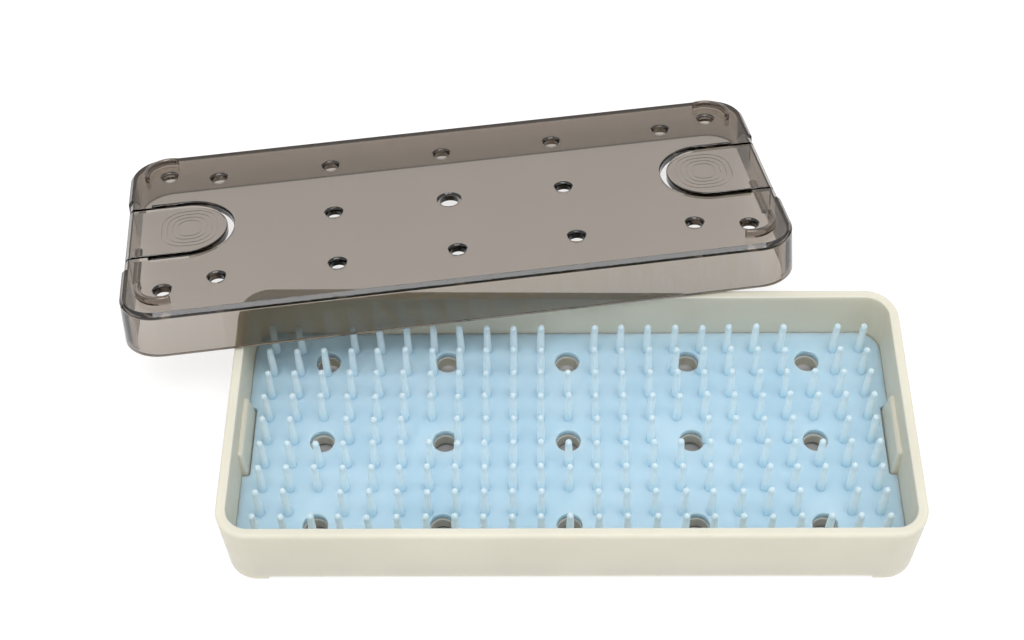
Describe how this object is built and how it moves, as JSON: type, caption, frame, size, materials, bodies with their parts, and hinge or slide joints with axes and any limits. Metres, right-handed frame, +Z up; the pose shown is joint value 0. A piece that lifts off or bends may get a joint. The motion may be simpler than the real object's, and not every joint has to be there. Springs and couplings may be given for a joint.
{
  "type": "instrument sterilization tray",
  "caption": "Small sterilization tray with a soft finger mat that holds instruments, and a clear lid with press tabs, lying half off it.",
  "frame": {"origin": "middle of the tray's underside, on the table", "axes": "+X along the tray to the right, +Y to the back, where the lid lies, +Z up"},
  "size_m": [0.1878, 0.1351, 0.0325],
  "materials": {
    "tray_plastic": "fine matte moulded cream plastic",
    "silicone": "soft light blue silicone, slightly translucent",
    "smoked_plastic": "clear smoked grey-brown moulded plastic, gloss"
  },
  "bodies": {
    "base": {"base_tray": "tray_plastic"},
    "mat": {"mat_sheet": "silicone", "mat_fingers": "silicone"},
    "lid": {"lid_shell": "smoked_plastic"},
    "tab_left": {"latch_tab_left": "smoked_plastic"},
    "tab_right": {"latch_tab_right": "smoked_plastic"}
  },
  "joints": [
    {"name": "mat_lift", "type": "slide", "parent": "base", "child": "mat", "axis": [0, 0, 1], "range_m": [0, 0.03]},
    {"name": "lid_lift", "type": "slide", "parent": "mat", "child": "lid", "axis": [0, 0, 1], "range_m": [0, 0.06]},
    {"name": "tab_left_press", "type": "hinge", "parent": "lid", "child": "tab_left", "pos_m": [-0.1057, 0.04742, 0.01535], "axis": [-0.1314, 0.9467, -0.294], "range_deg": [0, 6], "stiffness_Nm_per_rad": 0.3},
    {"name": "tab_right_press", "type": "hinge", "parent": "lid", "child": "tab_right", "pos_m": [0.04902, 0.06889, 0.01535], "axis": [0.1314, -0.9467, 0.294], "range_deg": [0, 6], "stiffness_Nm_per_rad": 0.3}
  ]
}
